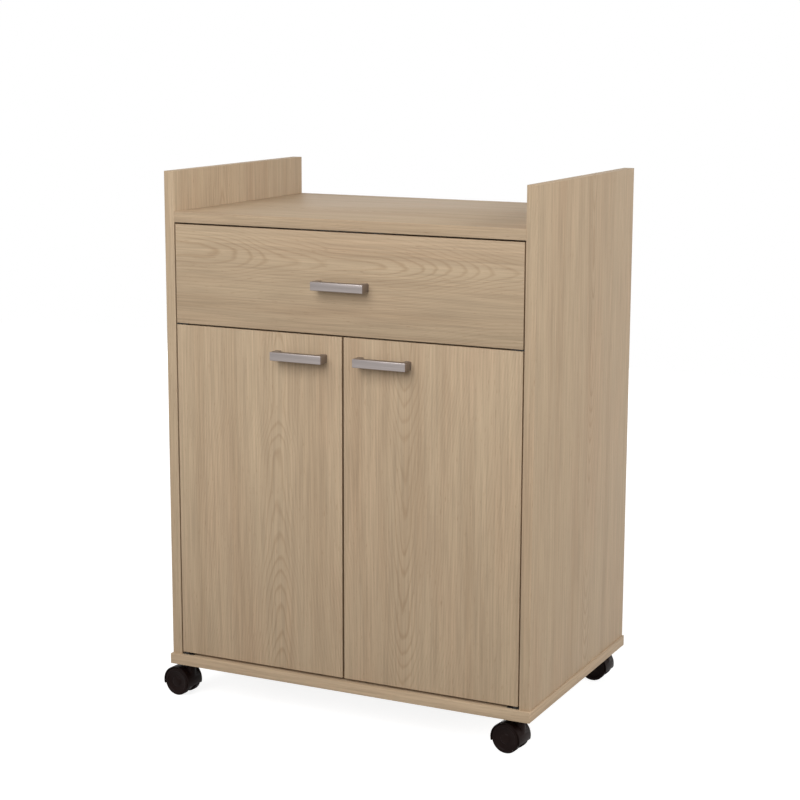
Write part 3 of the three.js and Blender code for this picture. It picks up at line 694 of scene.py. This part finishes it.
shelfLow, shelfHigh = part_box("top_shelf")
railLow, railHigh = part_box("front_rail")
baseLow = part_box("base_panel")[0]
for side, sign in (("left", -1), ("right", 1)):
    low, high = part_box(f"cabinet_runner_{side}")
    web = (high.x if sign > 0 else low.x) - sign * fittings["runnerSheet"] * mm
    places = [Vector((web, low.y + run * mm, (low.z + high.z) / 2)) for run in fittings["runnerScrews"]]
    screwHeads(f"cabinet_runner_{side}_screws", "cabinet", "cabinet runner", places, (-sign, 0, 0))

    low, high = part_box(f"drawer_side_{side}")
    web = (high.x if sign > 0 else low.x) + sign * fittings["runnerSheet"] * mm
    height = low.z + fittings["drawerRunnerRise"] * mm
    places = [Vector((web, low.y + run * mm, height)) for run in fittings["runnerScrews"]]
    screwHeads(f"drawer_runner_{side}_screws", "drawer", "drawer runner", places, (sign, 0, 0))

    low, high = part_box(f"strike_plate_{side}")
    places = [Vector(((low.x + high.x) / 2, high.y, (low.z + high.z) / 2))]
    screwHeads(f"strike_plate_{side}_screw", f"door_{side}", "strike plate", places, (0, 1, 0))

    low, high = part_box(f"door_pivot_lower_{side}")
    height = low.z + fittings["pivotSheet"] * mm
    places = [Vector(((low.x + high.x) / 2, high.y - run * mm, height)) for run in fittings["pivotScrews"]]
    screwHeads(f"door_pivot_lower_{side}_screws", "cabinet", "pivot", places, (0, 0, 1))

    low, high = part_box(f"side_panel_{side}")
    across = (low.x + high.x) / 2
    places = [Vector((across, baseLow.y + run * mm, baseLow.z)) for run in fittings["baseScrews"]]
    screwHeads(f"base_screws_{side}", "cabinet", "base", places, (0, 0, -1))

    # cams that draw the top shelf and the rail to the side, flush in their undersides
    across = (shelfHigh.x if sign > 0 else shelfLow.x) - sign * fittings["camInset"] * mm
    places = [Vector((across, shelfLow.y + run * mm, shelfLow.z)) for run in fittings["cams"]]
    places.append(Vector((across, (railLow.y + railHigh.y) / 2, railLow.z)))
    screwHeads(f"cams_{side}", "cabinet", "cam", places, (0, 0, -1))

# The catch's steel pole pieces stand a hair proud of its plastic front. Sizes are in mm.
poleLook = {
    "places": (-15.5, -6.5, 6.5, 15.5),  # across, from the catch's middle
    "size": (1.2, 0.6, 9),
    "inset": 0.2,  # from the catch's front to a pole's middle
    "ease": 0.12,
}
low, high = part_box("magnetic_catch")
poles = bmesh.new()
for across in poleLook["places"]:
    made = bmesh.ops.create_cube(poles, size=mm)["verts"]
    bmesh.ops.scale(poles, verts=made, vec=poleLook["size"])
    centre = ((low.x + high.x) / 2 + across * mm, low.y + poleLook["inset"] * mm, (low.z + high.z) / 2)
    bmesh.ops.translate(poles, verts=made, vec=centre)
easeEdges(poles, poleLook["ease"])
finishPiece(poles, "catch_poles", "cabinet", [zinc])
print("fittings made")

# The studio: white floor and background, a large lamp above the front, one at the right and one behind.
# Sizes are in metres.
studio = {
    "white": (1, 1, 1, 1),
    "floor": "#a8a8a8",  # what light from the floor is worth on the cart
    "floorLift": 0.86,  # glow that only the camera, gloss and glass see
    "floorHalf": 3.0,  # small enough that the lamps reach its edge and it doesn't show
    "worldLight": 0.28,
    "lamps": {  # place, aim, side length, watts
        "key lamp": ((-0.4, -3.5, 3.0), (0.0, 0.0, 0.5), 3.4, 146.0),
        "fill lamp": ((4.3, -0.2, 2.3), (0.0, 0.0, 0.45), 2.2, 114.0),
        "back lamp": ((-1.6, 3.2, 0.38), (0.0, 0.2, 0.4), 0.74, 44.0),
    },
}
for name, (place, aim, size, power) in studio["lamps"].items():
    light = bpy.data.lights.new(name, "AREA")
    light.shape = "SQUARE"
    light.size = size
    light.energy = power
    lamp = bpy.data.objects.new(name, light)
    lamp.location = place
    lamp.rotation_euler = (Vector(aim) - Vector(place)).to_track_quat("-Z", "Y").to_euler()
    bpy.context.scene.collection.objects.link(lamp)


def seenStraight(tree):  # 1 for what the camera, gloss and glass see, 0 for light that falls on things
    path = addNode(tree, "ShaderNodeLightPath")
    through = addNode(tree, "ShaderNodeMath", {
        0: path.outputs["Is Glossy Ray"], 1: path.outputs["Is Transmission Ray"],
    }, operation="MAXIMUM")
    seen = {0: path.outputs["Is Camera Ray"], 1: through}
    return addNode(tree, "ShaderNodeMath", seen, operation="MAXIMUM")


world = bpy.data.worlds.new("white studio")
bpy.context.scene.world = world
world.use_nodes = True
tree = world.node_tree
tree.nodes.clear()
level = addNode(tree, "ShaderNodeMath",
                {0: seenStraight(tree), 1: 1 - studio["worldLight"], 2: studio["worldLight"]},
                operation="MULTIPLY_ADD")
background = addNode(tree, "ShaderNodeBackground", {"Color": studio["white"], "Strength": level})
addNode(tree, "ShaderNodeOutputWorld", {"Surface": background})

floorShape = bmesh.new()
bmesh.ops.create_grid(floorShape, x_segments=1, y_segments=1, size=studio["floorHalf"])
floorMesh = bpy.data.meshes.new("studio floor")
floorShape.to_mesh(floorMesh)
floorShape.free()
floorPiece = bpy.data.objects.new("studio floor", floorMesh)
bpy.context.scene.collection.objects.link(floorPiece)
# Painted studio floor: matt white. To the camera it is lifted to white and only the shadow stays.
floorPaint, tree = newMaterial("white studio paint")
lift = addNode(tree, "ShaderNodeMath", {0: seenStraight(tree), 1: studio["floorLift"]}, operation="MULTIPLY")
glow = addNode(tree, "ShaderNodeEmission", {"Color": studio["white"], "Strength": lift})
matt = addNode(tree, "ShaderNodeBsdfDiffuse", {"Color": linear(studio["floor"])})
both = addNode(tree, "ShaderNodeAddShader", {0: matt, 1: glow})
addNode(tree, "ShaderNodeOutputMaterial", {"Surface": both})
floorMesh.materials.append(floorPaint)
print("studio made")

# The camera stands where the photograph was taken from.
cameraLook = {
    "place": (1.274996, -2.593830, 1.015390),
    "yaw": 25.992,  # degrees, as are down and roll
    "down": 10.781,
    "roll": 0.172,
    "lens": 85.528,  # mm, as is the sensor
    "sensor": 36,
}
camera = bpy.data.objects.new("camera", bpy.data.cameras.new("camera"))
camera.data.lens = cameraLook["lens"]
camera.data.sensor_width = cameraLook["sensor"]
camera.matrix_world = (Matrix.Translation(cameraLook["place"])
                       @ Matrix.Rotation(math.radians(cameraLook["yaw"]), 4, "Z")
                       @ Matrix.Rotation(math.radians(90 - cameraLook["down"]), 4, "X")
                       @ Matrix.Rotation(math.radians(cameraLook["roll"]), 4, "Z"))
bpy.context.scene.collection.objects.link(camera)
bpy.context.scene.camera = camera
bpy.context.scene.view_settings.view_transform = "Standard"
print("camera set")

bpy.context.view_layer.update()
